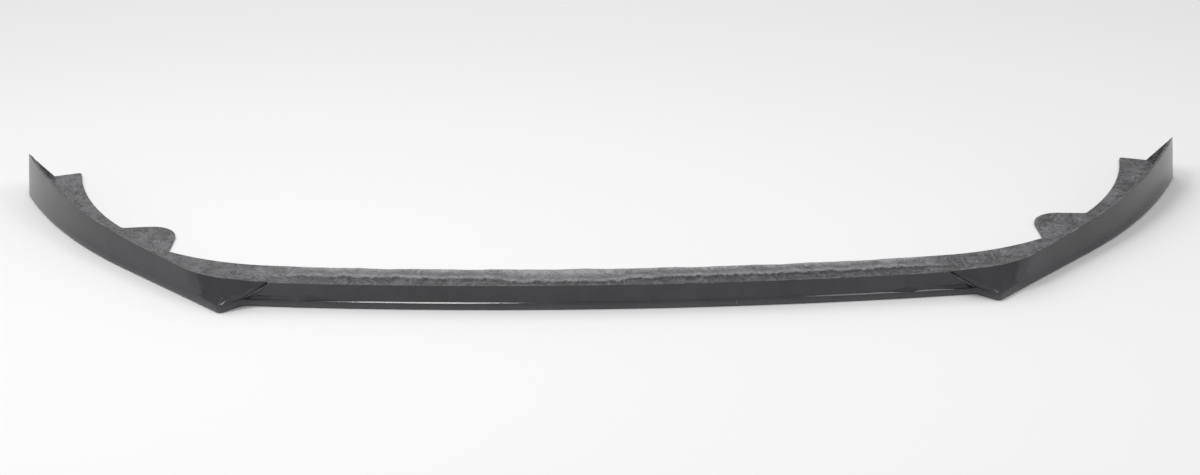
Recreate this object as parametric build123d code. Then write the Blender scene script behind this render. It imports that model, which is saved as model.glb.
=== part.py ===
from build123d import *
from math import cos, radians, sin, sqrt, tan
import os

# Front splitter lip: one laminated skin, a wall round the nose of the car on a flat shelf.
# +X is the car's left, -Y is forward, +Z is up. The left half is built and mirrored.

# Skin
skin = 4.0                  # thickness of the wall and of the shelf
wall_lean = 6.5             # degrees the wall leans inward as it rises
inside_fillet = 8.0         # laminate fillet where the wall meets the shelf
bottom_round = 3.0          # round along the outside bottom edge

# Centre section, between the two fangs
centre_half = 498.0         # half its width along the bottom
centre_bow = 28.0           # how far its middle bows forward of its corners
band_height = 11.0          # proud band along the bottom of the centre section
band_ledge = 2.5            # how far that band stands out from the wall above it

# Fang, the forward corner where a flank steps out past the centre section
fang_width = 29.0           # from the centre section's corner out to the nose
fang_reach = 24.0           # how far the nose stands forward of that corner
fang_nose_round = 8.0       # round of the nose, seen from above
fang_heel_round = 14.0      # hollow round where the fang runs back to the centre
step_run = 37.0             # from that corner in to where the step dies out at the rim

# Flank, from the fang back to the wheel arch
flank_heading = 43.6        # degrees the straight run turns back from the cross line
flank_run = 223.6           # length of the straight run
flank_radius = 900.0        # long curve after the straight run
tail_heading = 64.5         # degrees where the long curve hands over to the tail
tail_radius = 35.0          # tight curve that turns the wall in at the tail
end_heading = 118.0         # degrees at the end of the tail curve
shoulder_run = 41.6         # along the straight run, from the nose to the rim's bend
shoulder_heading = 0.5      # degrees of the rim between the step and that bend
shoulder_radius = 100.0     # radius of that bend
shoulder_level = 46.0       # height at which the bend is measured
shoulder_reach = 150.0      # length of the straight beside the bend, past the step

# Rim heights, and the slanted cut that ends the wall at the wheel arch
rim_centre = 34.0           # along the centre section
rim_lead = 6.0              # it starts to rise this far before the step dies out
rim_fang = 40.5             # above the fang's nose
rim_run = 47.5              # at the end of the straight run
rim_sweep = 59.4            # in the middle of the long curve
rim_tip = 69.0              # at the pointed tip
tip_setback = 66.0          # from the tip back to the foot of the slanted end
end_setback = 12.0          # from that foot back to the shelf's rear corner
end_skew = 45.0             # degrees the cut leans over sideways, which keeps it straight from the front

# Shelf, measured from the fang's nose along the straight run and square to it
shelf_depth = 123.0         # in the middle, front to rear
shelf_ease = 28.0           # its rear edge follows the front to this short of the corner
ear_root_run = 212.6        # inner foot of the ear
ear_root_inset = 73.7
ear_lead = 62.0             # from that foot along to the ear's corner, before it is rounded
ear_reach = 68.0            # and back to the same corner
ear_corner_round = 40.0
ear_width = 119.4           # from the inner foot along to the foot at the wheel arch
ear_skew = 5.0              # the arch's foot lies this much further back
ear_foot_round = 8.0        # hollow rounds at the two feet of the ear
arch_radius = 480.0         # wheel arch cut
shelf_end_back = 70.4       # rear corner of the shelf, behind the middle of the tail curve
shelf_end_inset = 30.0      # and towards the centre line from it
shelf_end_round = 5.0
shelf_end_heading = 161.6   # degrees of the rear end's cut, seen from above

margin = 60.0               # how far cutting shapes run past the part
wall_top = rim_tip + margin # the wall is drawn to here and then cut to the rim


def along(heading):
    return Vector(cos(radians(heading)), sin(radians(heading)))


def outward(heading):
    return Vector(sin(radians(heading)), -cos(radians(heading)))


def lean_at(height):
    return height * tan(radians(wall_lean))


fang_nose = Vector(centre_half + fang_width, -fang_reach)
run_end = fang_nose + along(flank_heading) * flank_run
sweep_centre = run_end - outward(flank_heading) * flank_radius
tail_start = sweep_centre + outward(tail_heading) * flank_radius
tail_centre = tail_start - outward(tail_heading) * tail_radius
shoulder_corner = fang_nose + along(flank_heading) * shoulder_run
half_bend = (flank_heading - shoulder_heading) / 2
bend_miter = outward((flank_heading + shoulder_heading) / 2) / cos(radians(half_bend))
tip_side = tail_centre.X + tail_radius - lean_at(rim_tip)
bow_radius = (centre_half**2 + centre_bow**2) / (2 * centre_bow)
bow_centre = bow_radius - centre_bow


def flank_point(run, inset):
    """A place on the shelf, along the flank's straight run and square to it."""
    return fang_nose + along(flank_heading) * run - outward(flank_heading) * inset


def bow_point(half_width, inset):
    """A point of the centre section's front, moved back by inset."""
    radius = bow_radius - inset
    return Vector(half_width, bow_centre - sqrt(radius**2 - half_width**2))


def bow_arc(first, last, inset):
    """The centre section's front between two distances from the centre line."""
    return ThreePointArc(bow_point(first, inset), bow_point((first + last) / 2, inset), bow_point(last, inset))


def closed_face(edges, corners):
    """A face bounded by some edges in a row and then by straight lines through corners."""
    places = [edges[-1] @ 1, *corners, edges[0] @ 0]
    return make_face(edges + [Line(a, b) for a, b in zip(places, places[1:])])


heel = Vector(centre_half, 0)
shelf_end = tail_centre + Vector(-shelf_end_inset, shelf_end_back)
back = shelf_end.Y + margin


def wall_edges(face):
    """The edges of a level face that follow the wall, without those that reach the plain back."""
    return [edge for edge in face.edges() if edge.bounding_box().max.Y < back - margin / 2]


def tail_edges(inset):
    """The flank's outline from the end of its straight run to its end."""
    middle = (flank_heading + tail_heading) / 2
    turn = (tail_heading + end_heading) / 2
    sweep = flank_radius - inset
    tight = tail_radius - inset
    start = sweep_centre + outward(flank_heading) * sweep
    handover = sweep_centre + outward(tail_heading) * sweep
    finish = tail_centre + outward(end_heading) * tight
    return [
        ThreePointArc(start, sweep_centre + outward(middle) * sweep, handover),
        ThreePointArc(handover, tail_centre + outward(turn) * tight, finish),
        Line(finish, finish + along(end_heading) * shelf_end_back),
    ]


def flank_section(height, front, inset):
    """The flank at a height: its front edges, its tail and a plain back."""
    edges = front + tail_edges(inset)
    return Pos(0, 0, height) * closed_face(edges, [(centre_half, back), (0, back)])


def fang_front(inset):
    """The flank's front below the step: upright inner face, rounded nose and straight run."""
    inner = (heel - fang_nose).normalized()
    run = along(flank_heading)
    nose = fang_nose + inner * (inset / inner.dot(outward(flank_heading) * -1))
    setback = fang_nose_round / tan(radians(inner.get_angle(run) / 2))
    bend = shoulder_radius * tan(radians(half_bend))
    round_end = nose + run * setback
    bend_end = flank_point(shoulder_run + bend, inset)
    return [
        Line(heel, nose + inner * setback),
        TangentArc(nose + inner * setback, round_end, tangent=inner * -1),
        Line(round_end, bend_end),
        Line(bend_end, flank_point(flank_run, inset)),
    ]


def bent_front(inset):
    """The flank's outline above the fang, where it bends towards the centre section."""
    radius = shoulder_radius - inset
    bend = radius * tan(radians(half_bend))
    corner = shoulder_corner - bend_miter * inset
    start = corner - along(shoulder_heading) * bend
    finish = corner + along(flank_heading) * bend
    root = corner - along(shoulder_heading) * shoulder_reach
    split = (root + start) / 2
    return [
        Line(root, split),
        Line(split, start),
        TangentArc(start, finish, tangent=along(shoulder_heading)),
        Line(finish, flank_point(flank_run, inset)),
    ]


def flank_body():
    """The flank as a full block, its outside ruled from the fang up to the bent rim."""
    sections = []
    for height in (0, band_height):
        inset = lean_at(height)
        sections.append(flank_section(height, fang_front(inset), inset))
    for height in (shoulder_level, wall_top):
        inset = lean_at(height)
        sections.append(flank_section(height, bent_front(inset), inset))
    return loft(sections, ruled=True)


def centre_section(height, half_width, inset):
    """The centre section at a height."""
    front = bow_arc(0, half_width, inset)
    return Pos(0, 0, height) * closed_face([front], [(half_width, back), (0, back)])


def centre_body():
    """The centre section as a full block: the proud band and the wall set back above it."""
    band = extrude(centre_section(0, centre_half, 0), band_height)
    foot = centre_section(band_height, centre_half, band_ledge)
    head = centre_section(wall_top, centre_half, band_ledge + lean_at(wall_top - band_height))
    return band + loft([foot, head], ruled=True)


def heel_fill():
    """The hollow round in the band where the fang runs back to the centre section."""
    floor_plan = flank_section(0, fang_front(0), 0) + centre_section(0, centre_half, 0)
    corner = floor_plan.vertices().sort_by_distance(heel)[0]
    return extrude(fillet(corner, fang_heel_round) - floor_plan, band_height)


def step_cut():
    """What is cut off the flank above the band, in front of the slanted step beside the centre."""
    heel_top = heel + Vector(0, 0, band_height)
    rise = rim_centre - band_height
    head = bow_point(centre_half - step_run, band_ledge + lean_at(rise)) + Vector(0, 0, rim_centre)
    edge = fang_nose - heel
    face = Plane(origin=heel_top, x_dir=edge, z_dir=edge.cross(head - heel_top))
    size = 4 * shoulder_reach
    stands_on = (Align.CENTER, Align.CENTER, Align.MIN)
    ahead = face * Box(size, size, size, align=stands_on)
    return ahead & Pos(heel_top) * Box(2 * size, 2 * size, 2 * size, align=stands_on)


def shelf_outline():
    """Everything from the shelf's rear edge forward, seen from above."""
    ear_root = flank_point(ear_root_run, ear_root_inset)
    ear_corner = flank_point(ear_root_run + ear_lead, ear_root_inset + ear_reach)
    ear_heel = flank_point(ear_root_run + ear_width, ear_root_inset + ear_skew)
    rear = bow_arc(0, centre_half - shelf_ease, shelf_depth)
    outside = fang_nose.X + flank_run * 2
    cut_run = (outside - shelf_end.X) / cos(radians(180 - shelf_end_heading))
    end_cut = shelf_end - along(shelf_end_heading) * cut_run
    front = -fang_reach - centre_bow - margin
    edges = [
        rear,
        TangentArc(rear @ 1, ear_root, tangent=rear % 1),
        Line(ear_root, ear_corner),
        Line(ear_corner, ear_heel),
        RadiusArc(ear_heel, shelf_end, -arch_radius),
        Line(shelf_end, end_cut),
    ]
    outline = closed_face(edges, [(outside, front), (0, front)])
    rounds = [
        (ear_root, ear_foot_round),
        (ear_corner, ear_corner_round),
        (ear_heel, ear_foot_round),
        (shelf_end, shelf_end_round),
    ]
    for place, radius in rounds:
        corner = outline.vertices().sort_by_distance(place)[0]
        outline = fillet(corner, radius)
    return outline


def hollow_section(height):
    """The space inside the wall at a height, bounded in front by the wall's inner face."""
    inset = skin + lean_at(height)
    centre_inset = skin + band_ledge + lean_at(height - band_height)
    run = Line(flank_point(-flank_run, inset), flank_point(flank_run, inset))
    flank_space = closed_face([run] + tail_edges(inset), [(-margin, back), (-margin, (run @ 0).Y)])
    wide = centre_half + flank_run
    front = bow_arc(-margin, wide, centre_inset)
    centre_space = closed_face([front], [(wide + flank_run, back), (-margin, back)])
    space = flank_space & centre_space
    bend = space.vertices().sort_by_distance(bow_point(fang_nose.X, centre_inset))[0]
    return Pos(0, 0, height) * fillet(bend, shoulder_radius - inset)


def hollow():
    """The space inside the wall and above the shelf."""
    space = loft([hollow_section(skin), hollow_section(wall_top)], ruled=True)
    return fillet(wall_edges(space.faces().sort_by(Axis.Z)[0]), inside_fillet)


def above_rim():
    """What lies above the rim, drawn in front view and run from front to back."""
    sweep_middle = sweep_centre + outward((flank_heading + tail_heading) / 2) * flank_radius
    level = Line((-margin, rim_centre), (centre_half - step_run - rim_lead, rim_centre))
    rise = Spline(
        level @ 1,
        (fang_nose.X, rim_fang),
        (run_end.X, rim_run),
        (sweep_middle.X, rim_sweep),
        (tip_side, rim_tip),
        (2 * tip_side - sweep_middle.X, 2 * rim_tip - rim_sweep),
    )
    side = (rise @ 1).X
    front_view = Plane.XZ * closed_face([level, rise], [(side, 2 * wall_top), (-margin, 2 * wall_top)])
    return extrude(front_view, 2 * back, both=True)


def behind_end():
    """What lies behind the slanted end of the wall, above the shelf."""
    drop = rim_tip - skin
    inward = (tip_setback - tail_radius) * tan(radians(end_heading - 90))
    foot = Vector(tip_side - inward, shelf_end.Y - end_setback, skin)
    tip = Vector(tip_side, foot.Y - tip_setback, rim_tip)
    skew = Vector(1, 0, tan(radians(end_skew)))
    end = Plane(origin=foot, x_dir=tip - foot, z_dir=(tip - foot).cross(skew))
    stands_on = (Align.CENTER, Align.CENTER, Align.MIN)
    behind = end * Box(4 * drop, 4 * drop, 4 * drop, align=stands_on)
    return behind & Pos(foot) * Box(2 * tip_setback, 3 * tip_setback, 2 * wall_top, align=stands_on)


block = (flank_body() - step_cut()) + (centre_body() + heel_fill())
block = fillet(wall_edges(block.faces().sort_by(Axis.Z)[0]), bottom_round)
half = block & extrude(shelf_outline(), 2 * wall_top, both=True)
half = half - hollow() - above_rim() - behind_end()
lip = half + mirror(half, about=Plane.YZ)
lip = Pos(0, -lip.bounding_box().center().Y, 0) * lip

os.makedirs("parts", exist_ok=True)
export_step(lip, "parts/splitter_lip.step")
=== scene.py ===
# %% [markdown]
# # Front splitter lip
# The real part is one skin of glass fibre and resin, laid up by hand in a mould. Its mould side is smooth
# black gelcoat: the outside of the wall and the underside. Its open side is raw laminate: the inside of
# the wall and the top of the shelf. Everything is in metres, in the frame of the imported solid, which is
# loaded first and never changed.

# %% Load the frame
from math import cos, pi, radians, sin

import bmesh
import bpy
from mathutils import Matrix, Vector
from mathutils.kdtree import KDTree


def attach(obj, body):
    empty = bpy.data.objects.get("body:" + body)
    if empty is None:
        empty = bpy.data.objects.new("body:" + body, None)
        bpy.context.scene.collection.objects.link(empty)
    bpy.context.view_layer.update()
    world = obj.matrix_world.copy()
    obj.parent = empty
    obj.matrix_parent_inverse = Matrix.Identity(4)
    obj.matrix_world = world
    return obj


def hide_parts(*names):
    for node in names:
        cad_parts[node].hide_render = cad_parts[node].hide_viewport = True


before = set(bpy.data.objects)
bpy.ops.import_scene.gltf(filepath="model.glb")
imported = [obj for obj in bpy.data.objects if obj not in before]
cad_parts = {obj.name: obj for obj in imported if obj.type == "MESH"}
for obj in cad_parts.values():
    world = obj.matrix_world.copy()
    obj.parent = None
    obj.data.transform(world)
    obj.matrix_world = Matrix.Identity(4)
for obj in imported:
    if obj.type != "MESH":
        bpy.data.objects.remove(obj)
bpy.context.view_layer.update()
scene = bpy.context.scene

# %% [markdown]
# ## Skin
# The skin has to keep the exact form of the solid. A new mesh could be drawn from the same sizes, but a
# copy of the solid's own mesh can't be wrong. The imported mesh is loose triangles, one patch for each face,
# so the copy is merged into one closed surface before anything else is done to it.

# %% Merge a copy of the solid
MERGE_GAP = 0.000002

skin = bmesh.new()
skin.from_mesh(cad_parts["splitter_lip"].data)
bmesh.ops.remove_doubles(skin, verts=skin.verts, dist=MERGE_GAP)
skin.normal_update()


def open_edges():
    return sum(not edge.is_manifold for edge in skin.edges)


print("merged skin", len(skin.verts), "points,", open_edges(), "open edges")

# %% [markdown]
# ## Two sides
# The two sides of the skin look nothing alike, so each face is told apart by where it points: down, or away
# from the bay that the bumper fills, is the mould side. The cut edges belong to the open side, because a
# saw goes through the laminate there. This comes before the corners are softened, while every face still
# points one clear way, and the small faces of a bevel then take after their neighbours.

# %% Tell the mould side from the open side
MOULD_SIDE, OPEN_SIDE = 0, 1
BAND_TOP = 0.011
TOUCH = 0.00001
BAY_Y = 0.30
BAY_SPREAD = 0.55
FACES_DOWN = -0.5
FACES_UP = 0.85
FACES_AWAY = 0.4


def is_mould_side(face):
    normal = face.normal
    place = face.calc_center_median()
    if normal.z < FACES_DOWN:
        return True
    if normal.z > FACES_UP:
        return abs(place.z - BAND_TOP) < TOUCH
    away = Vector((place.x * (1 - BAY_SPREAD), place.y - BAY_Y, 0)).normalized()
    return Vector((normal.x, normal.y, 0)).normalized().dot(away) > FACES_AWAY


for face in skin.faces:
    face.material_index = MOULD_SIDE if is_mould_side(face) else OPEN_SIDE
print("open side", sum(face.material_index for face in skin.faces), "of", len(skin.faces), "faces")

# %% [markdown]
# ## Edges
# A moulded or trimmed edge is never perfectly sharp, and the thin line of light along a soft edge is what
# makes a dark part readable. A bevel on every outward corner gives that line. A few crowded corners are left
# out, at the fang and at the slanted end, where a bevel would fold over itself. The band's top edge is left
# out too, because it gets a shape of its own.

# %% Soften the outward edges
EDGE_ROUND = 0.0005
CORNER_ANGLE = radians(35)
FOLD_ANGLE = radians(150)
CROWDED_CORNERS = [
    (Vector((0.4990, -0.2262, 0.011)), 0.006),
    (Vector((0.4945, -0.2315, 0.0265)), 0.011),
    (Vector((0.8515, 0.2320, 0.004)), 0.006),
    (Vector((0.8710, 0.1700, 0.0683)), 0.006),
]
BAND_HALF = 0.4975


def mirrored(place):
    """A place moved to the positive side, because the two halves are alike."""
    return Vector((abs(place.x), place.y, place.z))


def is_soft_corner(edge):
    place = mirrored((edge.verts[0].co + edge.verts[1].co) / 2)
    on_band = abs(place.z - BAND_TOP) < EDGE_ROUND and place.x < BAND_HALF
    crowded = any((place - middle).length < reach for middle, reach in CROWDED_CORNERS)
    return edge.calc_face_angle_signed(0) > CORNER_ANGLE and not on_band and not crowded


corners = [edge for edge in skin.edges if is_soft_corner(edge)]
bmesh.ops.bevel(skin, geom=corners, offset=EDGE_ROUND, offset_type="OFFSET", segments=2, profile=0.5,
                affect="EDGES", clamp_overlap=False, material=-1)
folds = sum(edge.calc_face_angle(0) > FOLD_ANGLE for edge in skin.edges)
print("softened", len(corners), "edges,", open_edges(), "open edges,", folds, "folds")

# %% [markdown]
# ## Band
# A proud band runs along the bottom of the centre section. Its top edge carries the bright line in the
# photograph. A round edge mirrors a lamp in a hair line, and a flat facet mirrors it over its whole width,
# so the edge is a narrow flat facet with soft ends. The band is cut at a few heights, and the new points are
# pushed back to the facet's profile, which is easier to steer than a bevel and dies out at the fang. Beside
# the fang the ledge above the facet is raised to a slope, so that no step catches the light there.

# %% Cut helpers


def span(face, axis):
    """The lowest and the highest place of a face along an axis."""
    places = [vert.co[axis] for vert in face.verts]
    return min(places), max(places)


def cut_across(faces, axis, place):
    """Cuts some faces with a plane square to an axis and returns the faces that come of it."""
    parts = dict.fromkeys(faces)
    for face in faces:
        parts.update(dict.fromkeys([*face.verts, *face.edges]))
    normal = Vector([float(axis == number) for number in range(3)])
    cut = bmesh.ops.bisect_plane(skin, geom=list(parts), dist=TOUCH, plane_co=normal * place, plane_no=normal)
    return [part for part in cut["geom"] if isinstance(part, bmesh.types.BMFace)]


def cut_both_halves(distances, chosen):
    """Cuts the chosen faces at some distances from the middle, on the left and on the right."""
    for side in (-1, 1):
        for distance in distances:
            x = side * distance
            crossing = [face for face in skin.faces
                        if span(face, 0)[0] < x < span(face, 0)[1] and chosen(face)]
            cut_across(crossing, 0, x)


print("cuts leave alone what lies within", TOUCH * 1000, "mm")

# %% Cut the band for its facet
FACET_END = (0.4955, 0.4915)
FACET_RISES = (0.0, 0.00013, 0.00027, 0.00053, 0.00080, 0.00107, 0.00120, 0.00135)
LEDGE_CUTS = (0.484, 0.477, 0.46, 0.44, 0.41, 0.39, 0.37, 0.35)
FACES_FRONT = -0.9


def is_mould_wall(face):
    return face.material_index == MOULD_SIDE and face.normal.z > FACES_DOWN


def is_centre_front(face):
    return face.normal.y < FACES_FRONT and abs(face.calc_center_median().x) < BAND_HALF


def is_band_front(face):
    return is_centre_front(face) and span(face, 2)[1] < BAND_TOP + TOUCH


def is_centre_wall(face):
    return is_centre_front(face) and span(face, 2)[0] > BAND_TOP - TOUCH


cut_both_halves((*FACET_END, *LEDGE_CUTS), is_mould_wall)
facet_foot = BAND_TOP - FACET_RISES[-1]
for rise in FACET_RISES[:-1]:
    cut_across([face for face in skin.faces if is_band_front(face)], 2, facet_foot + rise)
print("band", sum(is_band_front(face) for face in skin.faces), "faces,", open_edges(), "open edges")

# %% Push the facet back and slope the ledge
FACET_SETBACKS = (0.0, 0.00004, 0.00018, 0.00064, 0.00110, 0.00156, 0.00182, 0.00210)
BOW_RADIUS = 4.4426
LEDGE_RISE = 0.0003
LEDGE_RISE_AT_FANG = 0.0045
LEDGE_RISE_X = (0.34, 0.41)
LEDGE_END_SLOPE = 0.4


def fade(value, start, end):
    """A smooth step from 0 at start to 1 at end."""
    share = min(max((value - start) / (end - start), 0), 1)
    return share * share * (3 - 2 * share)


def facet_setback(rise):
    """The setback of the profile's point that is nearest in height."""
    return min(zip(FACET_RISES, FACET_SETBACKS), key=lambda point: abs(point[0] - rise))[1]


front_points = {vert for face in skin.faces if is_band_front(face) for vert in face.verts}
wall_feet = {vert for face in skin.faces if is_centre_wall(face) for vert in face.verts
             if vert.co.z < BAND_TOP + TOUCH and vert not in front_points}
facet_points = [vert for vert in front_points if vert.co.z > facet_foot + TOUCH]
for vert in facet_points:
    setback = facet_setback(vert.co.z - facet_foot) * fade(abs(vert.co.x), *FACET_END)
    vert.co += Vector((-vert.co.x / BOW_RADIUS, 1, 0)) * setback
for vert in wall_feet:
    towards_fang = fade(abs(vert.co.x), *LEDGE_RISE_X)
    rise = LEDGE_RISE + (LEDGE_RISE_AT_FANG - LEDGE_RISE) * towards_fang
    vert.co.z += min(rise, max(LEDGE_END_SLOPE * (FACET_END[0] - abs(vert.co.x)), 0))
print("facet", len(facet_points), "points, ledge", len(wall_feet), "points,", open_edges(), "open edges")

# %% [markdown]
# ## Step at the fang
# Beside each fang the flank steps out past the centre section. The root of that step is a dark crevice that
# closes towards the rim, and the edge of the fang above the band carries a fine bead. Both are shapes that
# light finds, so they are modelled: the skin is cut into small cells there, and the cells near the two lines
# are sunk or raised. The lower lip of the crevice gets a pale line of painted highlight. The lines are drawn
# in front view, on the positive side.

# %% Cut the skin into cells round the fang
FANG_CELL = 0.0040
FANG_X = (0.452, 0.536)
LEANS_FRONT = -0.2


def is_above_band(face):
    on_front = face.material_index == MOULD_SIDE and face.normal.y < LEANS_FRONT
    return on_front and span(face, 2)[0] > BAND_TOP - TOUCH


def is_fang_face(face):
    near, far = sorted(abs(value) for value in span(face, 0))
    return near > FANG_X[0] - TOUCH and far < FANG_X[1] + TOUCH and is_above_band(face)


def cut_into_cells(chosen, axis, cell):
    """Cuts the chosen faces with evenly spaced planes square to an axis."""
    waiting = [(face, *span(face, axis)) for face in skin.faces if chosen(face)]
    place = min(near for face, near, far in waiting) + cell / 2
    end = max(far for face, near, far in waiting)
    while place < end:
        crossing = [face for face, near, far in waiting if near < place < far]
        waiting = [entry for entry in waiting if entry[1] >= place]
        if crossing:
            for face in cut_across(crossing, axis, place):
                near, far = span(face, axis)
                if far > place + TOUCH:
                    waiting.append((face, near, far))
        place += cell


cut_both_halves(FANG_X, is_above_band)
for axis in (0, 2):
    cut_into_cells(is_fang_face, axis, FANG_CELL)
print("fang cells", sum(is_fang_face(face) for face in skin.faces), "faces,", open_edges(), "open edges")

# %% Cut the skin fine at the two lines
LINE_CELL = 0.0007
LINE_REACH = 0.0040
CREVICE = (Vector((0.4975, 0.0140)), Vector((0.4625, 0.0345)))
BEAD = (Vector((0.5250, 0.0110)), Vector((0.4975, 0.0262)))


def beside(place, start, end):
    """How far along a line a place lies, from 0 to 1, and how far below it, in front view."""
    run = end - start
    offset = Vector((abs(place.x), place.z)) - start
    return offset.dot(run) / run.length_squared, run.cross(offset) / run.length


def line_distance(place, start, end):
    along, below = beside(place, start, end)
    past = max(-along, along - 1, 0) * (end - start).length
    return max(abs(below), past)


def is_line_face(face):
    if not is_fang_face(face):
        return False
    place = face.calc_center_median()
    return min(line_distance(place, *CREVICE), line_distance(place, *BEAD)) < LINE_REACH


for axis in (0, 2):
    cut_into_cells(is_line_face, axis, LINE_CELL)
print("line cells", sum(is_line_face(face) for face in skin.faces), "faces,", open_edges(), "open edges")

# %% Shapes of the crevice, the painted highlight on its lip and the bead
CREVICE_DEPTH = 0.0023
CREVICE_HALF_WIDTHS = (0.0012, 0.0021)
CREVICE_ROUNDING = 1.5
CREVICE_FADES = ((0.0, 0.08), (1.0, 0.95))
LIP_HIGHLIGHT_OFFSET = 0.0003
LIP_HIGHLIGHT_HALF_WIDTH = 0.0019
LIP_HIGHLIGHT_FADES = ((0.0, 0.06), (0.85, 0.55))
BEAD_HEIGHT = 0.0008
BEAD_HALF_WIDTH = 0.0016
BEAD_FADES = ((0.0, 0.06), (1.0, 0.6))


def between(along, fades):
    """The share that is left after a shape has faded in at one end of its line and out at the other."""
    fade_in, fade_out = fades
    return fade(along, *fade_in) * fade(along, *fade_out)


def crevice_at(place):
    """How far the crevice sinks a place, and how much painted highlight its lower lip gets there."""
    along, below = beside(place, *CREVICE)
    narrow, wide = CREVICE_HALF_WIDTHS
    half_width = narrow + (wide - narrow) * sin(pi * min(max(along, 0), 1))
    depth = CREVICE_DEPTH * max(1 - (below / half_width) ** 2, 0) ** CREVICE_ROUNDING
    on_lip = max(1 - abs(below - half_width - LIP_HIGHLIGHT_OFFSET) / LIP_HIGHLIGHT_HALF_WIDTH, 0)
    return depth * between(along, CREVICE_FADES), on_lip * between(along, LIP_HIGHLIGHT_FADES)


def bead_at(place):
    """How far the bead raises a place."""
    along, below = beside(place, *BEAD)
    return BEAD_HEIGHT * max(1 - abs(below) / BEAD_HALF_WIDTH, 0) * between(along, BEAD_FADES)


print("crevice", CREVICE_DEPTH * 1000, "mm deep, bead", BEAD_HEIGHT * 1000, "mm high")

# %% Sink the crevice, raise the bead and keep the painted highlight of the lip
# the pale line of painted highlight along the crevice's lower lip is kept on the points
lip_highlight_layer = skin.verts.layers.float.new("lip_highlight")
step_points = {vert for face in skin.faces if is_line_face(face) for vert in face.verts}
for vert in step_points:
    sunk, vert[lip_highlight_layer] = crevice_at(vert.co)
    vert.co.y += sunk - bead_at(vert.co)
print("step points", len(step_points))

# %% [markdown]
# ## Open side
# Raw laminate is lumpy, with the lie of the chopped strands showing through the resin. A bump in the
# material would leave the mesh flat, so the open side is cut into small cells first, and the cells are then
# lifted by Geometry Nodes. The cuts are planes square to the axes. They keep the form exactly as it is. The
# rear edge of the shelf was trimmed by hand, so it strays by a few millimetres, always inside the form.

# %% Cut the open side into cells
OPEN_CELL = 0.0031


def is_open_side(face):
    return face.material_index == OPEN_SIDE


for axis in range(3):
    cut_into_cells(is_open_side, axis, OPEN_CELL)
print("cells", len(skin.faces), "faces,", sum(len(face.verts) - 2 for face in skin.faces), "triangles,",
      open_edges(), "open edges")

# %% Trim the rear edge by hand
TRIM_REACH = 0.012
TRIM_DEPTH = 0.0028
TRIM_HALF = 0.47
TRIM_END = 0.08
TRIM_WAVES = ((1.0, 57, 0.4), (0.6, 101, 2.0), (0.35, 239, 0.0))
JUST_OVER_SHELF = 0.0045
FACES_REAR = 0.7


def trim_wave(x):
    """How far the saw strayed at a place along the edge, from 0 to 1."""
    wave = sum(share * sin(rate * x + shift) for share, rate, shift in TRIM_WAVES)
    most = sum(share for share, rate, shift in TRIM_WAVES)
    return (wave / most + 1) / 2 * fade(abs(x), TRIM_HALF, TRIM_HALF - TRIM_END)


def distance_finder(places):
    """A function that gives the distance from any place to the nearest of some places."""
    tree = KDTree(len(places))
    for number, place in enumerate(places):
        tree.insert(place, number)
    tree.balance()
    return lambda place: tree.find(place)[2]


skin.normal_update()
rear_faces = [face for face in skin.faces
              if face.normal.y > FACES_REAR and span(face, 2)[1] < JUST_OVER_SHELF]
rear_edge = [vert.co.copy() for face in rear_faces for vert in face.verts if abs(vert.co.x) < TRIM_HALF]
from_rear = distance_finder(rear_edge)
shelf_points = [vert for vert in skin.verts if abs(vert.co.x) < TRIM_HALF and vert.co.z < JUST_OVER_SHELF]
for vert in shelf_points:
    vert.co.y -= TRIM_DEPTH * trim_wave(vert.co.x) * fade(from_rear(vert.co), TRIM_REACH, 0)
print("rear edge", len(rear_edge), "points, shelf", len(shelf_points), "points,", open_edges(), "open edges")

# %% Mark how far each point is from an edge of the open side
EDGE_EASE = 0.007
SHARP = radians(28)

skin.normal_update()
for face in skin.faces:
    face.smooth = True
for edge in skin.edges:
    edge.smooth = edge.calc_face_angle(0) < SHARP


def is_open_border(edge):
    sides = {face.material_index for face in edge.link_faces}
    return OPEN_SIDE in sides and (len(sides) == 2 or not edge.smooth)


border = [vert.co for edge in skin.edges if is_open_border(edge) for vert in edge.verts]
from_border = distance_finder(border)
open_layer = skin.verts.layers.float.new("open_side")
for vert in skin.verts:
    if any(is_open_side(face) for face in vert.link_faces):
        vert[open_layer] = fade(from_border(vert.co), 0, EDGE_EASE)
print("border", len(border), "points")

# %% Make the skin an object
skin_mesh = bpy.data.meshes.new("laminated_skin")
skin.to_mesh(skin_mesh)
skin.free()
lip = bpy.data.objects.new("laminated_skin", skin_mesh)
scene.collection.objects.link(lip)
print("skin mesh", len(skin_mesh.vertices), "points")

# %% [markdown]
# ## Node helpers
# Node trees are built from a few small functions. They make one node at a time and link it to what feeds it,
# so that a tree in this file reads from its inputs to its output, in the order of the work.

# %% Node helpers
FLOAT, SHAPE, PLACE = "NodeSocketFloat", "NodeSocketGeometry", "NodeSocketVector"


def add_node(tree, kind, inputs=None, **settings):
    """One node with its settings. Its inputs are values, or outputs of other nodes to link."""
    node = tree.nodes.new(kind)
    for name, value in settings.items():
        setattr(node, name, value)
    for name, value in (inputs or {}).items():
        if isinstance(value, bpy.types.NodeSocket):
            tree.links.new(value, node.inputs[name])
        else:
            node.inputs[name].default_value = value
    return node


def calc(tree, operation, first, second=0.0, third=0.0):
    """The outcome of one step of arithmetic."""
    return add_node(tree, "ShaderNodeMath", {0: first, 1: second, 2: third}, operation=operation).outputs[0]


def ramp(tree, value, low, high, start=0.0, end=1.0):
    """A smooth step of a value from one level to another."""
    return add_node(tree, "ShaderNodeMapRange", {
        "Value": value, "From Min": low, "From Max": high, "To Min": start, "To Max": end,
    }, interpolation_type="SMOOTHSTEP").outputs[0]


def axes(tree, vector):
    """The three parts of a vector or a colour."""
    return add_node(tree, "ShaderNodeSeparateXYZ", {0: vector}).outputs


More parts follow.
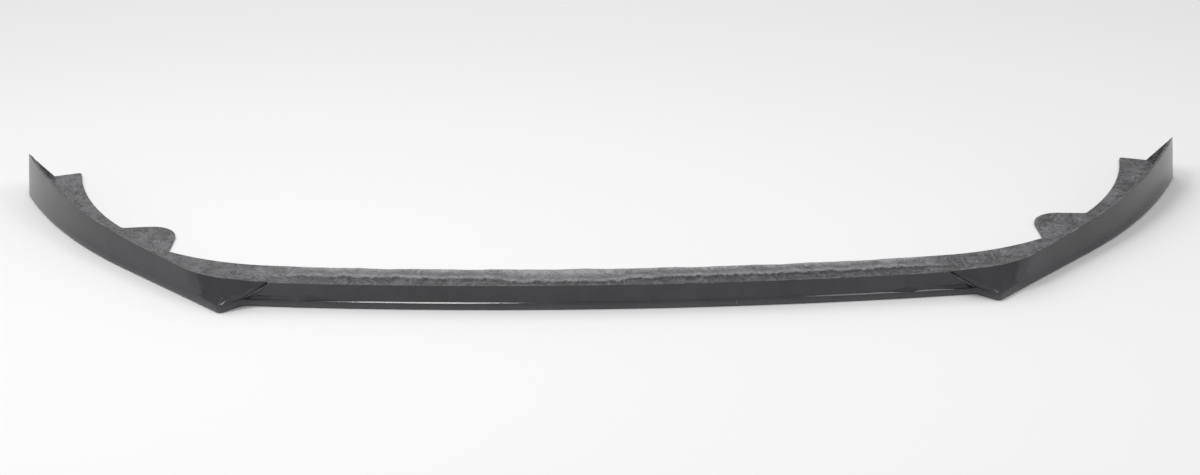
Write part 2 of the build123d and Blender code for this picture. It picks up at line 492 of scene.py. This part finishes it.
def new_tree(name, kind, inputs, outputs):
    """A node tree with named sockets, and its input and output nodes."""
    tree = bpy.data.node_groups.new(name, kind)
    for in_out, sockets in (("INPUT", inputs), ("OUTPUT", outputs)):
        for label, (socket_type, value) in sockets.items():
            socket = tree.interface.new_socket(label, in_out=in_out, socket_type=socket_type)
            if value is not None:
                socket.default_value = value
    return tree, tree.nodes.new("NodeGroupInput").outputs, tree.nodes.new("NodeGroupOutput").inputs


print("node helpers ready")

# %% Noise helpers
NOISE_ROUGHNESS = 0.55
NOISE_GAIN = 4.0


def noise(tree, vector, size, seed, detail=3.0):
    """Noise from -1 to 1, with features of a size."""
    node = add_node(tree, "ShaderNodeTexNoise", {
        "Vector": vector, "W": seed, "Scale": calc(tree, "DIVIDE", 1.0, size),
        "Detail": detail, "Roughness": NOISE_ROUGHNESS,
    }, noise_dimensions="4D")
    return calc(tree, "MULTIPLY_ADD", node.outputs[0], NOISE_GAIN, -NOISE_GAIN / 2)


def cells(tree, vector, size, seed):
    """Random cells of a size, with a colour for each and the distance from its middle."""
    return add_node(tree, "ShaderNodeTexVoronoi", {
        "Vector": vector, "W": seed, "Scale": calc(tree, "DIVIDE", 1.0, size),
    }, voronoi_dimensions="4D").outputs


def strands(tree, vector, length, width, seed):
    """Short streaks that lie every way: noise drawn out along a different heading in each cell."""
    chance = axes(tree, cells(tree, vector, length, seed)["Color"])[0]
    heading = calc(tree, "MULTIPLY", chance, 2 * pi)
    turned = add_node(tree, "ShaderNodeVectorRotate", {"Vector": vector, "Angle": heading},
                      rotation_type="Z_AXIS").outputs[0]
    parts = axes(tree, turned)
    drawn = add_node(tree, "ShaderNodeCombineXYZ", {
        0: calc(tree, "DIVIDE", parts[0], length),
        1: calc(tree, "DIVIDE", parts[1], width),
        2: calc(tree, "DIVIDE", parts[2], width),
    }).outputs[0]
    return noise(tree, drawn, 1.0, seed, detail=1.0)


print("noise helpers ready")

# %% [markdown]
# ## Shared effects
# Both finishes are uneven in the same two ways. Resin dries in soft clouds, lighter and darker, and dust
# settles in specks. One node group makes both masks, and each finish places it with its own sizes. A second
# group is a single mark at a place, soft at its rim, for the few nicks, smudges and pits of this very part.
# On the gelcoat the same mark group also paints a spot of highlight and a patch of dark reflection.

# %% Group for clouds and specks
SPECK_CHANCE = (0.72, 0.80)
SPECK_RIM = (0.22, 0.10)

clouds, given, made = new_tree(
    "clouds_and_specks", "ShaderNodeTree",
    {
        "Place": (PLACE, None),
        "Cloud size": (FLOAT, 0.05),
        "Speck spacing": (FLOAT, 0.006),
        "Seed": (FLOAT, 1.0),
    },
    {"Clouds": (FLOAT, None), "Specks": (FLOAT, None)},
)
soft = noise(clouds, given["Place"], given["Cloud size"], given["Seed"], detail=4.0)
clouds.links.new(ramp(clouds, soft, -1.0, 1.0), made["Clouds"])
grains = cells(clouds, given["Place"], given["Speck spacing"], given["Seed"])
rare = ramp(clouds, axes(clouds, grains["Color"])[0], *SPECK_CHANCE)
near = ramp(clouds, grains["Distance"], *SPECK_RIM)
clouds.links.new(calc(clouds, "MULTIPLY", rare, near), made["Specks"])


def add_clouds(tree, coordinates, cloud_size, speck_spacing, seed):
    """The clouds and the specks of a finish."""
    return add_node(tree, "ShaderNodeGroup", {
        "Place": coordinates, "Cloud size": cloud_size, "Speck spacing": speck_spacing, "Seed": seed,
    }, node_tree=clouds).outputs


print("group", clouds.name, len(clouds.nodes), "nodes")

# %% Group for one mark
MARK_RIM = (1.0, 0.3)

spot, given, made = new_tree(
    "one_mark", "ShaderNodeTree",
    {
        "Place": (PLACE, None),
        "Middle": (PLACE, None),
        "Reach": (PLACE, (0.01, 0.01, 0.01)),
        "Amount": (FLOAT, 1.0),
    },
    {"Mark": (FLOAT, None)},
)
away = add_node(spot, "ShaderNodeVectorMath", {0: given["Place"], 1: given["Middle"]}, operation="SUBTRACT")
away = add_node(spot, "ShaderNodeVectorMath", {0: away.outputs[0], 1: given["Reach"]}, operation="DIVIDE")
away = add_node(spot, "ShaderNodeVectorMath", {0: away.outputs[0]}, operation="LENGTH").outputs["Value"]
spot.links.new(calc(spot, "MULTIPLY", ramp(spot, away, *MARK_RIM), given["Amount"]), made["Mark"])


def add_marks(tree, coordinates, marks):
    """The sum of some marks, each with its middle, its reach along the axes and its amount."""
    total = 0.0
    for middle, reach, amount in marks:
        mark = add_node(tree, "ShaderNodeGroup", {
            "Place": coordinates, "Middle": middle, "Reach": reach, "Amount": amount,
        }, node_tree=spot).outputs[0]
        total = calc(tree, "ADD", mark, total)
    return total


print("group", spot.name, len(spot.nodes), "nodes")

# %% [markdown]
# ## Black gelcoat
# The mould side is pigmented resin that has taken the polish of the mould: nearly black, glossy, a little
# uneven where it has been handled, with a trace of dust. A plain dark gloss would look like plastic film, so
# the colour and the roughness both follow the clouds and specks, and a faint ripple bends the reflections.
# Some light is painted into the colour as well: a highlight along the crevice's lower lip and at the top of
# the left step, a dark reflection on the right flank, and the floor's reflection, which makes the gelcoat
# paler towards the bottom.

# %% Material helpers


def new_material(name):
    """A material, its tree, its shader and the place of each point on the object."""
    material = bpy.data.materials.new(name)
    material.use_nodes = True
    tree = material.node_tree
    shader = tree.nodes["Principled BSDF"]
    return material, tree, shader, tree.nodes.new("ShaderNodeTexCoord").outputs["Object"]


def stored(tree, name):
    """A value that the mesh keeps for each point."""
    return add_node(tree, "ShaderNodeAttribute", attribute_name=name).outputs["Fac"]


def mix_colours(tree, share, first, second):
    mix = add_node(tree, "ShaderNodeMix", data_type="RGBA")
    tree.links.new(share, mix.inputs["Factor"])
    colours = [socket for socket in mix.inputs if socket.type == "RGBA"]
    colours[0].default_value = (*first, 1)
    colours[1].default_value = (*second, 1)
    return next(socket for socket in mix.outputs if socket.type == "RGBA")


def add_bump(tree, shader, height, strength, distance):
    bump = add_node(tree, "ShaderNodeBump", {"Height": height, "Strength": strength, "Distance": distance})
    tree.links.new(bump.outputs[0], shader.inputs["Normal"])


print("material helpers ready")

# %% Gelcoat: where the dust lies, and where highlights and reflections are painted
GELCOAT_MARKS_AND_PAINTED_LIGHT = [
    ((0.1702, -0.2500, 0.0060), (0.0012, 0.0060, 0.0035), 0.9),
    # painted highlight: a pale spot at the top of the left step
    ((-0.4612, -0.2245, 0.0338), (0.0026, 0.0060, 0.0015), 1.0),
    # painted reflection: a darker patch on the right flank, just behind the fang
    ((0.5517, -0.2350, 0.0212), (0.0050, 0.0200, 0.0110), -0.5),
    ((-0.7153, -0.0500, 0.0234), (0.0040, 0.0200, 0.0160), 0.22),
]
DUST_EVERYWHERE = 0.03
DUST_IN_CLOUDS = 0.16
DUST_IN_SPECKS = 0.30
PAINTED_HIGHLIGHT_ON_LIP = 1.2
PAINTED_FLOOR_REFLECTION = 0.45
PAINTED_FLOOR_REFLECTION_HEIGHTS = (0.0115, 0.0015)

gelcoat, tree, shader, coordinates = new_material("black_gelcoat")
uneven = add_clouds(tree, coordinates, cloud_size=0.045, speck_spacing=0.009, seed=2.0)
# dust, together with the painted highlights and painted reflections below
dust_and_painted_light = calc(tree, "MULTIPLY_ADD", uneven["Clouds"], DUST_IN_CLOUDS, DUST_EVERYWHERE)
dust_and_painted_light = calc(tree, "MULTIPLY_ADD", uneven["Specks"], DUST_IN_SPECKS, dust_and_painted_light)
dust_and_painted_light = calc(tree, "ADD", dust_and_painted_light, add_marks(tree, coordinates, GELCOAT_MARKS_AND_PAINTED_LIGHT))
# painted highlight: a pale line along the crevice's lower lip
dust_and_painted_light = calc(tree, "MULTIPLY_ADD", stored(tree, "lip_highlight"), PAINTED_HIGHLIGHT_ON_LIP, dust_and_painted_light)
# painted reflection of the white floor: the gelcoat is made paler towards the bottom
dust_and_painted_light = calc(tree, "ADD", dust_and_painted_light, ramp(tree, axes(tree, coordinates)[2], *PAINTED_FLOOR_REFLECTION_HEIGHTS, 0.0, PAINTED_FLOOR_REFLECTION))
print("marks on the gelcoat", len(GELCOAT_MARKS_AND_PAINTED_LIGHT))

# %% Gelcoat: colour, gloss and ripple
GELCOAT_DEEP = (0.0235, 0.0230, 0.0270)
GELCOAT_DUST_AND_PAINTED_LIGHT = (0.118, 0.116, 0.126)
ROUGH_EVERYWHERE = 0.09
ROUGH_IN_CLOUDS = 0.05
ROUGH_IN_SPECKS = 0.2

tree.links.new(mix_colours(tree, dust_and_painted_light, GELCOAT_DEEP, GELCOAT_DUST_AND_PAINTED_LIGHT), shader.inputs["Base Color"])
rough = calc(tree, "MULTIPLY_ADD", uneven["Clouds"], ROUGH_IN_CLOUDS, ROUGH_EVERYWHERE)
rough = calc(tree, "MULTIPLY_ADD", uneven["Specks"], ROUGH_IN_SPECKS, rough)
tree.links.new(rough, shader.inputs["Roughness"])
ripple = noise(tree, coordinates, size=0.006, seed=3.0, detail=2.0)
add_bump(tree, shader, ripple, strength=0.05, distance=0.0004)
print("material", gelcoat.name, len(tree.nodes), "nodes")

# %% [markdown]
# ## Raw laminate
# The open side is mat of chopped strands, wetted with the same black resin. Where it is wet it is dark and a
# little shiny, and where the strands stand out dry it is grey and dull. The relief below stores how dry each
# place is and how high it lies, and the material adds the print of single strands, clouds, specks and pits.
# The torn edge of the second strip of mat gets a frayed pale line, with a painted shadow in front of it.
# Along the rear of the centre shelf the stored dryness also carries a painted sheen, which makes it paler and
# duller.

# %% Laminate: strands and clouds
STRAND_SHADE = 0.24
CLOUD_SHADE = 0.30
SHADE_WHERE_DRY = 1.2
SHADE_WHERE_WET = 0.75

laminate, tree, shader, coordinates = new_material("raw_laminate")
dryness_and_sheen = stored(tree, "dryness_and_sheen")
uneven = add_clouds(tree, coordinates, cloud_size=0.022, speck_spacing=0.005, seed=5.0)
long_strands = strands(tree, coordinates, length=0.022, width=0.0046, seed=6.0)
fine_strands = strands(tree, coordinates, length=0.012, width=0.0021, seed=7.0)
shades = calc(tree, "MULTIPLY_ADD", fine_strands, STRAND_SHADE,
              calc(tree, "MULTIPLY", long_strands, STRAND_SHADE))
shades = calc(tree, "ADD", shades,
              calc(tree, "MULTIPLY_ADD", uneven["Clouds"], CLOUD_SHADE, -CLOUD_SHADE / 2))
shades = calc(tree, "MULTIPLY", shades,
              calc(tree, "MULTIPLY_ADD", dryness_and_sheen, SHADE_WHERE_DRY, SHADE_WHERE_WET))
print("strands and clouds", len(tree.nodes), "nodes")

# %% Laminate: the torn edge of the second strip, and the painted shadow in front of it
FRAY_REACH = 0.0012
TEAR = (-0.0008, 0.0004)
TORN_LINE = 0.34
TORN_LINE_REACH = (0.0048, 0.0012)
TORN_PAINTED_SHADOW = -0.16
TORN_PAINTED_SHADOW_REACH = (-0.0090, -0.0010)

fray = noise(tree, coordinates, size=0.007, seed=8.0, detail=2.0)
frayed = calc(tree, "MULTIPLY_ADD", fray, FRAY_REACH, stored(tree, "past_edge"))
torn_line = calc(tree, "MULTIPLY", ramp(tree, frayed, *TEAR),
                 ramp(tree, frayed, *TORN_LINE_REACH, 0.0, TORN_LINE))
# painted shadow: darker just in front of the torn edge
torn_painted_shadow = calc(tree, "MULTIPLY", ramp(tree, frayed, *reversed(TEAR)),
                  ramp(tree, frayed, *TORN_PAINTED_SHADOW_REACH, 0.0, TORN_PAINTED_SHADOW))
torn_line_and_shadow = calc(tree, "MULTIPLY", calc(tree, "ADD", torn_line, torn_painted_shadow), stored(tree, "mat_share"))
print("torn edge frays by", FRAY_REACH * 1000, "mm")

# %% Laminate: colour, roughness and grain
# the pale colour also serves the painted sheen, and the dark one the painted shadow
LAMINATE_WET_AND_SHADOW = (0.034, 0.0335, 0.037)
LAMINATE_DRY_AND_SHEEN = (0.330, 0.328, 0.342)
LAMINATE_PITS = [
    ((-0.8038, 0.1390, 0.004), (0.0055, 0.0090, 0.02), -0.80),
    ((-0.7985, 0.1270, 0.004), (0.0065, 0.0090, 0.02), -0.80),
    ((-0.7905, 0.1200, 0.004), (0.0045, 0.0080, 0.02), -0.60),
    ((-0.8085, 0.1740, 0.004), (0.0060, 0.0100, 0.02), -0.40),
    ((0.8062, 0.1404, 0.004), (0.0120, 0.0200, 0.02), -0.22),
]
DRY_IN_SPECKS = 0.20
DRY_PER_METRE_UP = 110.0
DULL_AT = 0.6
LAMINATE_ROUGHNESS = (0.40, 0.68)
FINE_GRAIN = 0.6

# dryness here also carries the painted sheen of the rear shelf and the painted shadow at the torn edge
dry_with_painted_light = calc(tree, "ADD", calc(tree, "ADD", dryness_and_sheen, torn_line_and_shadow), shades)
dry_with_painted_light = calc(tree, "MULTIPLY_ADD", uneven["Specks"], DRY_IN_SPECKS, dry_with_painted_light)
dry_with_painted_light = calc(tree, "MULTIPLY_ADD", stored(tree, "lie"), DRY_PER_METRE_UP, dry_with_painted_light)
dry_with_painted_light = calc(tree, "ADD", dry_with_painted_light, add_marks(tree, coordinates, LAMINATE_PITS))
dry_with_painted_light = calc(tree, "MAXIMUM", dry_with_painted_light, 0.0)
tree.links.new(mix_colours(tree, dry_with_painted_light, LAMINATE_WET_AND_SHADOW, LAMINATE_DRY_AND_SHEEN), shader.inputs["Base Color"])
tree.links.new(ramp(tree, dry_with_painted_light, 0.0, DULL_AT, *LAMINATE_ROUGHNESS), shader.inputs["Roughness"])
grain = calc(tree, "MULTIPLY_ADD", fine_strands, FINE_GRAIN, long_strands)
add_bump(tree, shader, grain, strength=0.8, distance=0.0006)
for finish in (gelcoat, laminate):
    skin_mesh.materials.append(finish)
print("material", laminate.name, len(tree.nodes), "nodes")

# %% [markdown]
# ## Relief of the laminate
# Three things lift the open side: broad lumps of resin, the print of the strands, and a second strip of mat
# along the rear of the centre section, with a torn, scalloped front edge. They follow the surface, so they
# are one Geometry Nodes tree with a named input for each size. The height is also stored on the points,
# because the material uses it: what stands up is rubbed and dusty, and what lies low is dark with resin.

# %% Relief tree: its sizes
relief_sizes = {
    "Lump height": 0.00070,
    "Lump size": 0.013,
    "Strand height": 0.00060,
    "Strand length": 0.020,
    "Strand width": 0.0045,
    "Mat height": 0.0024,
    "Mat front": -0.1650,
    "Mat curve": 0.12,
    "Mat half width": 0.50,
    "Tongue reach": 0.010,
    "Tongue middle": -0.060,
    "Tongue half width": 0.085,
    "Scallop reach": 0.0045,
    "Scallop size": 0.017,
    "Seed": 4.0,
}
relief, given, made = new_tree(
    "laminate_relief", "GeometryNodeTree",
    {"Geometry": (SHAPE, None), **{name: (FLOAT, value) for name, value in relief_sizes.items()}},
    {"Geometry": (SHAPE, None)},
)
position = add_node(relief, "GeometryNodeInputPosition").outputs[0]
place = axes(relief, position)
print("relief inputs", len(relief_sizes))

# %% Relief tree: the edge of the second strip of mat
TONGUE_RIM = (-0.006, 0.012)

across = add_node(relief, "ShaderNodeCombineXYZ", {0: place[0]}).outputs[0]
bowed = calc(relief, "MULTIPLY", calc(relief, "MULTIPLY", place[0], place[0]), given["Mat curve"])
from_tongue = calc(relief, "ABSOLUTE", calc(relief, "SUBTRACT", place[0], given["Tongue middle"]))
on_tongue = ramp(relief, calc(relief, "SUBTRACT", given["Tongue half width"], from_tongue), *TONGUE_RIM)
scallop = calc(relief, "MULTIPLY", noise(relief, across, given["Scallop size"], given["Seed"], detail=4.0),
               given["Scallop reach"])
mat_edge = calc(relief, "ADD", calc(relief, "ADD", given["Mat front"], bowed), scallop)
mat_edge = calc(relief, "SUBTRACT", mat_edge, calc(relief, "MULTIPLY", on_tongue, given["Tongue reach"]))
past_edge = calc(relief, "SUBTRACT", place[1], mat_edge)
print("edge of the mat", len(relief.nodes), "nodes")

# %% Relief tree: how high each place lies
MAT_RIM = (-0.0014, 0.0014)
MAT_CURL = (1.5, 0.9)
MAT_CURL_REACH = (0.002, 0.012)
MAT_END = 0.10
SHELF_LEVELS = (0.0065, 0.0055)

behind = ramp(relief, past_edge, *MAT_RIM)
curl = ramp(relief, past_edge, *MAT_CURL_REACH, *MAT_CURL)
inside = calc(relief, "SUBTRACT", given["Mat half width"], calc(relief, "ABSOLUTE", place[0]))
in_centre = ramp(relief, inside, 0.0, MAT_END)
on_shelf = ramp(relief, place[2], *SHELF_LEVELS)
mat = calc(relief, "MULTIPLY", calc(relief, "MULTIPLY", behind, on_shelf), in_centre)
mat = calc(relief, "MULTIPLY", mat, curl)
lumps = noise(relief, position, given["Lump size"], given["Seed"])
print_through = strands(relief, position, given["Strand length"], given["Strand width"], given["Seed"])
height = calc(relief, "ADD", calc(relief, "MULTIPLY", lumps, given["Lump height"]),
              calc(relief, "MULTIPLY", print_through, given["Strand height"]))
height = calc(relief, "ADD", height, calc(relief, "MULTIPLY", mat, given["Mat height"]))
mask = add_node(relief, "GeometryNodeInputNamedAttribute", {"Name": "open_side"}, data_type="FLOAT")
height = calc(relief, "MULTIPLY", height, mask.outputs[0])
print("heights", len(relief.nodes), "nodes")

# %% Relief tree: how dry each place is, and the painted sheen at the rear
DRY_MAT = 0.06
REAR_PAINTED_SHEEN = 0.62
REAR_PAINTED_SHEEN_REACH = (0.012, 0.033)
DRY_FRONT = (0.08, 0.05)
DRY_FRONT_REACH = (-0.012, -0.002)
DRY_FLANK = 0.19
DRY_PATCHES = 0.12
DRY_FLANK_SHELF = 0.02

# painted sheen: the rear of the centre shelf is made paler, as if dry
rear_painted_sheen = ramp(relief, past_edge, *REAR_PAINTED_SHEEN_REACH, 0.0, REAR_PAINTED_SHEEN)
dry_centre_and_sheen = calc(relief, "MULTIPLY", behind, calc(relief, "ADD", rear_painted_sheen, DRY_MAT))
dry_centre_and_sheen = calc(relief, "ADD", dry_centre_and_sheen, ramp(relief, past_edge, *DRY_FRONT_REACH, *DRY_FRONT))
patches = noise(relief, position, size=0.05, seed=9.0, detail=1.0)
dry_flank = calc(relief, "MULTIPLY_ADD", patches, DRY_PATCHES, DRY_FLANK)
dry_flank = calc(relief, "MULTIPLY_ADD", on_shelf, DRY_FLANK_SHELF, dry_flank)
dry_and_sheen_place = calc(relief, "ADD", calc(relief, "MULTIPLY", dry_centre_and_sheen, in_centre),
                 calc(relief, "MULTIPLY", dry_flank, calc(relief, "SUBTRACT", 1.0, in_centre)))
print("dryness_and_sheen", len(relief.nodes), "nodes")

# %% Relief tree: lift the points, keep the values and set the finishes
COMPARE_FIRST, COMPARE_SECOND = 2, 3

normal = add_node(relief, "GeometryNodeInputNormal").outputs[0]
lift = add_node(relief, "ShaderNodeVectorMath", {0: normal, "Scale": height}, operation="SCALE").outputs[0]
kept_values = {
    "lie": height,
    "dryness_and_sheen": dry_and_sheen_place,
    "past_edge": past_edge,
    "mat_share": calc(relief, "MULTIPLY", on_shelf, in_centre),
}
shape = given["Geometry"]
for name, value in kept_values.items():
    shape = add_node(relief, "GeometryNodeStoreNamedAttribute", {
        "Geometry": shape, "Name": name, "Value": value,
    }, data_type="FLOAT", domain="POINT").outputs[0]
shape = add_node(relief, "GeometryNodeSetPosition", {"Geometry": shape, "Offset": lift}).outputs[0]
shape = add_node(relief, "GeometryNodeRealizeInstances", {"Geometry": shape}).outputs[0]
for side, finish in ((MOULD_SIDE, gelcoat), (OPEN_SIDE, laminate)):
    which = add_node(relief, "GeometryNodeInputMaterialIndex").outputs[0]
    chosen = add_node(relief, "FunctionNodeCompare", data_type="INT", operation="EQUAL")
    relief.links.new(which, chosen.inputs[COMPARE_FIRST])
    chosen.inputs[COMPARE_SECOND].default_value = side
    shape = add_node(relief, "GeometryNodeSetMaterial", {
        "Geometry": shape, "Selection": chosen.outputs[0], "Material": finish,
    }).outputs[0]
relief.links.new(shape, made["Geometry"])
print("relief tree", len(relief.nodes), "nodes")

# %% Run the relief and keep a plain mesh
LARGE_FACE_WEIGHT = 60

modifier = lip.modifiers.new("laminate_relief", "NODES")
modifier.node_group = relief
for socket in relief.interface.items_tree:
    if socket.in_out == "INPUT" and socket.name in relief_sizes:
        modifier[socket.identifier] = relief_sizes[socket.name]
weighting = lip.modifiers.new("even_light", "WEIGHTED_NORMAL")
weighting.keep_sharp = True
weighting.weight = LARGE_FACE_WEIGHT

graph = bpy.context.evaluated_depsgraph_get()
finished_mesh = bpy.data.meshes.new_from_object(lip.evaluated_get(graph), preserve_all_data_layers=True,
                                                depsgraph=graph)
lip.modifiers.clear()
lip.data = finished_mesh
heights = [entry.value * 1000 for entry in finished_mesh.attributes["lie"].data]
finished_mesh.calc_loop_triangles()
print("relief from", round(min(heights), 2), "to", round(max(heights), 2), "mm,",
      len(finished_mesh.loop_triangles), "triangles")

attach(lip, "root")
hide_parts("splitter_lip")

# %% [markdown]
# ## Floor and surround
# A product like this is photographed on a white sweep. A large pale floor fills the whole view from this
# angle, so there is no horizon to hide, and a plain white world lights it evenly from everywhere. The soft
# shadow where the lip meets the floor then comes by itself.

# %% Floor and surround
FLOOR_HALF = 30.0
FLOOR_COLOUR = (0.90, 0.90, 0.905, 1)
FLOOR_ROUGHNESS = 0.9
WORLD_COLOUR = (1, 1, 1, 1)
WORLD_STRENGTH = 0.54

floor_corners = [(x * FLOOR_HALF, y * FLOOR_HALF, 0) for x, y in ((-1, -1), (1, -1), (1, 1), (-1, 1))]
floor_mesh = bpy.data.meshes.new("pale_floor")
floor_mesh.from_pydata(floor_corners, [], [(0, 1, 2, 3)])
floor = bpy.data.objects.new("pale_floor", floor_mesh)
scene.collection.objects.link(floor)
paint = bpy.data.materials.new("pale_floor")
paint.use_nodes = True
shader = paint.node_tree.nodes["Principled BSDF"]
shader.inputs["Base Color"].default_value = FLOOR_COLOUR
shader.inputs["Roughness"].default_value = FLOOR_ROUGHNESS
floor_mesh.materials.append(paint)

world = bpy.data.worlds.new("white_room")
scene.world = world
world.use_nodes = True
background = world.node_tree.nodes["Background"]
background.inputs["Color"].default_value = WORLD_COLOUR
background.inputs["Strength"].default_value = WORLD_STRENGTH
print("floor", 2 * FLOOR_HALF, "m wide, world", WORLD_STRENGTH)

# %% [markdown]
# ## Lamps
# Two strips of light hang over the lip, and each mirrors in one stretch of the band's facet. Two square lamps
# further out mirror in the beads of the fangs. A lamp's place is found backwards: from the camera to the
# surface, and from there along the mirrored ray. A broad, soft key light comes from behind, so that the rough
# shelf shows its relief and the floor in front of the wall lies in soft shadow.

# %% Lamps
LAMP_HEIGHT = 2.2
LAMPS = {
    "left_strip": {"over": (-0.515, -0.08), "aim": (-0.26, -0.25), "size": (0.45, 0.40), "radiance": 14.0},
    "right_strip": {"over": (0.90, -0.06), "aim": (0.42, -0.25), "size": (0.42, 0.40), "radiance": 4.0},
    "left_spot": {"over": (-1.56, -0.62), "aim": (-0.52, -0.24), "size": (0.65, 0.65), "radiance": 8.5},
    "right_spot": {"over": (1.68, -0.60), "aim": (0.52, -0.24), "size": (0.65, 0.65), "radiance": 3.8},
}
KEY_PLACE = (-1.2, 2.4, 3.0)
KEY_STRENGTH = 0.66
KEY_SPREAD = radians(40)


def hang(lamp, place, aim):
    """Puts a lamp at a place and turns it towards another."""
    holder = bpy.data.objects.new(lamp.name, lamp)
    scene.collection.objects.link(holder)
    holder.location = place
    holder.rotation_euler = (Vector(aim) - Vector(place)).to_track_quat("-Z", "Y").to_euler()
    print("lamp", lamp.name, round(lamp.energy, 2))


def soft_lamp(name, over, aim, size, radiance):
    """A rectangular lamp of a given brightness, whatever its size, aimed at the floor."""
    lamp = bpy.data.lights.new(name, "AREA")
    lamp.shape = "RECTANGLE"
    lamp.size, lamp.size_y = size
    lamp.energy = radiance * pi * size[0] * size[1]
    hang(lamp, (*over, LAMP_HEIGHT), (*aim, 0))


for name, settings in LAMPS.items():
    soft_lamp(name, **settings)
key = bpy.data.lights.new("key", "SUN")
key.energy = KEY_STRENGTH
key.angle = KEY_SPREAD
hang(key, KEY_PLACE, (0, 0, 0))

# %% [markdown]
# ## Camera
# The camera was fitted to pairs of landmarks on the two sides of the photograph. Its lens, its place and its
# three turns are given here, and its axes are worked out from the turns, so that nothing is set by eye.

# %% Camera
LENS_MM = 60.0
SENSOR_MM = 36.0
FARTHEST = 200
CAMERA_PLACE = Vector((-0.055, -2.6712, 1.194))
YAW, PITCH, ROLL = radians(0.98), radians(24.21), radians(0.49)

forward = Vector((sin(YAW) * cos(PITCH), cos(YAW) * cos(PITCH), -sin(PITCH)))
level_right = Vector((cos(YAW), -sin(YAW), 0))
level_down = forward.cross(level_right)
right = level_right * cos(ROLL) + level_down * sin(ROLL)
down = level_down * cos(ROLL) - level_right * sin(ROLL)

lens = bpy.data.cameras.new("photo_camera")
lens.lens = LENS_MM
lens.sensor_width = SENSOR_MM
lens.sensor_fit = "HORIZONTAL"
lens.clip_end = FARTHEST
camera = bpy.data.objects.new("photo_camera", lens)
scene.collection.objects.link(camera)
turn = Matrix((right, -down, -forward)).transposed()
camera.matrix_world = Matrix.Translation(CAMERA_PLACE) @ turn.to_4x4()
scene.camera = camera
scene.view_settings.view_transform = "Standard"
print("camera", tuple(round(value, 3) for value in camera.location), LENS_MM, "mm")
